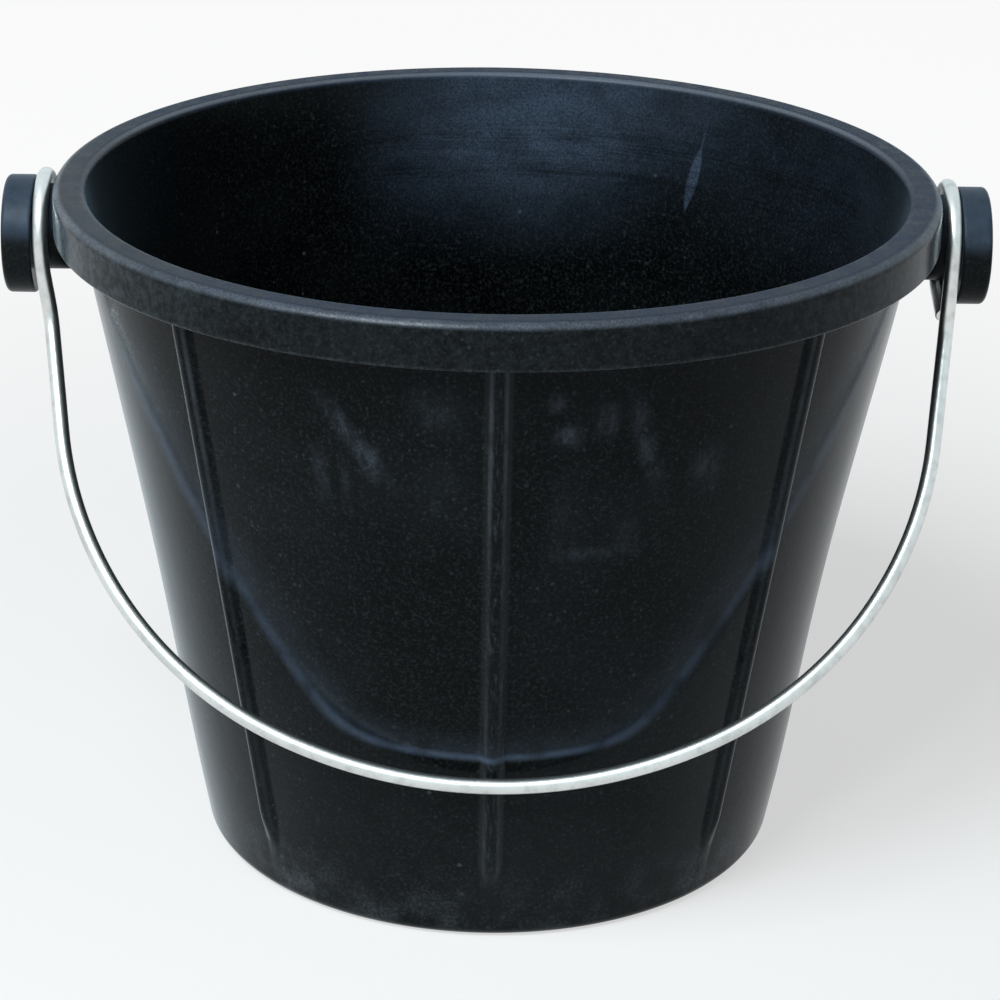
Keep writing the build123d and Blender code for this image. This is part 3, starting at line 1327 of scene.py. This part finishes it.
@dataclass
class Studio:
    """The floor, the light and the camera."""

    focal: float = 3.15227
    eye: Point = (0.0, -1.0637, 0.5611)
    pitch: float = math.radians(22.43)
    yaw: float = math.radians(0.14)
    roll: float = math.radians(-0.98)
    floor_half: float = 9.0
    fill: float = 0.12
    cool: Colour = (0.88, 0.97, 1.0, 1.0)
    white: Colour = (1.0, 1.0, 1.0, 1.0)
    lamp_place: Point = (-0.75, -1.05, 1.70)
    lamp_aim: Point = (0.0, 0.0, 0.12)
    lamp_size: float = 1.0
    lamp_power: float = 44.0
    orbit: float = math.radians(0.6)
    sensor: float = 36.0
    clip: tuple[float, float] = (0.05, 50.0)

    def lay_floor(self, finish: PaperFinish) -> None:
        """Lay a plain floor under the bucket.

        Args:
            finish: The floor's material.
        """
        half = self.floor_half
        points = [(-half, -half, 0.0), (half, -half, 0.0), (half, half, 0.0), (-half, half, 0.0)]
        mesh = bpy.data.meshes.new("floor")
        mesh.from_pydata(points, [], [(0, 1, 2, 3)])
        mesh.materials.append(finish.make("pale_paper"))
        floor = bpy.data.objects.new("floor", mesh)
        bpy.context.scene.collection.objects.link(floor)

    def light(self) -> None:
        """Surround the bucket with soft white light."""
        world = bpy.data.worlds.new("white_room")
        world.use_nodes = True
        bpy.context.scene.world = world
        board = NodeBoard(world.node_tree)
        seen = board.node("ShaderNodeLightPath", output="Is Camera Ray")
        colour = board.mix(seen, self.cool, self.white)
        strength = self.fill + (1.0 - self.fill) * board.backdrop_rays()
        back = board.node("ShaderNodeBackground", None, {"Color": colour, "Strength": strength})
        board.node("ShaderNodeOutputWorld", None, {"Surface": back})

    def hang_lamp(self) -> None:
        """Hang a large square soft lamp that faces the bucket."""
        lamp = bpy.data.lights.new("key_lamp", "AREA")
        lamp.size = self.lamp_size
        lamp.energy = self.lamp_power
        lamp.color = self.cool[:3]
        hung = bpy.data.objects.new("key_lamp", lamp)
        hung.location = self.lamp_place
        hung.rotation_mode = "QUATERNION"
        sight = Vector(self.lamp_aim) - Vector(self.lamp_place)
        hung.rotation_quaternion = sight.to_track_quat("-Z", "Y")
        bpy.context.scene.collection.objects.link(hung)

    def set_camera(self) -> None:
        """Stand the camera where the picture was taken from."""
        data = bpy.data.cameras.new("camera")
        data.sensor_width = self.sensor
        data.lens = self.focal * data.sensor_width
        data.clip_start, data.clip_end = self.clip
        level, sunk = math.cos(self.pitch), math.sin(self.pitch)
        ahead = Vector((math.sin(self.yaw) * level, math.cos(self.yaw) * level, -sunk))
        right = Vector((math.cos(self.yaw), -math.sin(self.yaw), 0.0))
        turned = right * math.cos(self.roll) + ahead.cross(right) * math.sin(self.roll)
        upward = turned.cross(ahead)
        facing = Matrix((turned, upward, -ahead)).transposed().to_4x4()
        camera = bpy.data.objects.new("camera", data)
        orbit = Matrix.Rotation(-self.orbit, 4, "Z")
        camera.matrix_world = orbit @ Matrix.Translation(Vector(self.eye)) @ facing
        bpy.context.scene.collection.objects.link(camera)
        bpy.context.scene.camera = camera


def main() -> None:
    """Build the bucket, the studio and the camera, and report each piece."""
    logging.basicConfig(level=logging.INFO, format="%(name)s: %(message)s")
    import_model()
    bpy.context.scene.view_settings.view_transform = "Standard"
    rubber, zinc = RubberFinish(), ZincFinish()
    shell = RubberShell()
    shell.build(rubber)
    lugs = [MushroomLug(side) for side in Side]
    for lug in lugs:
        lug.build(rubber, shell)
    bail = WireBail(shell, lugs[0])
    bail.build(zinc)
    for part in (shell, *lugs, bail):
        for piece in part.pieces:
            LOG.info("%s has %d faces", piece.name, len(piece.data.polygons))
    studio = Studio()
    studio.lay_floor(PaperFinish())
    studio.light()
    studio.hang_lamp()
    studio.set_camera()


if __name__ == "__main__":
    main()
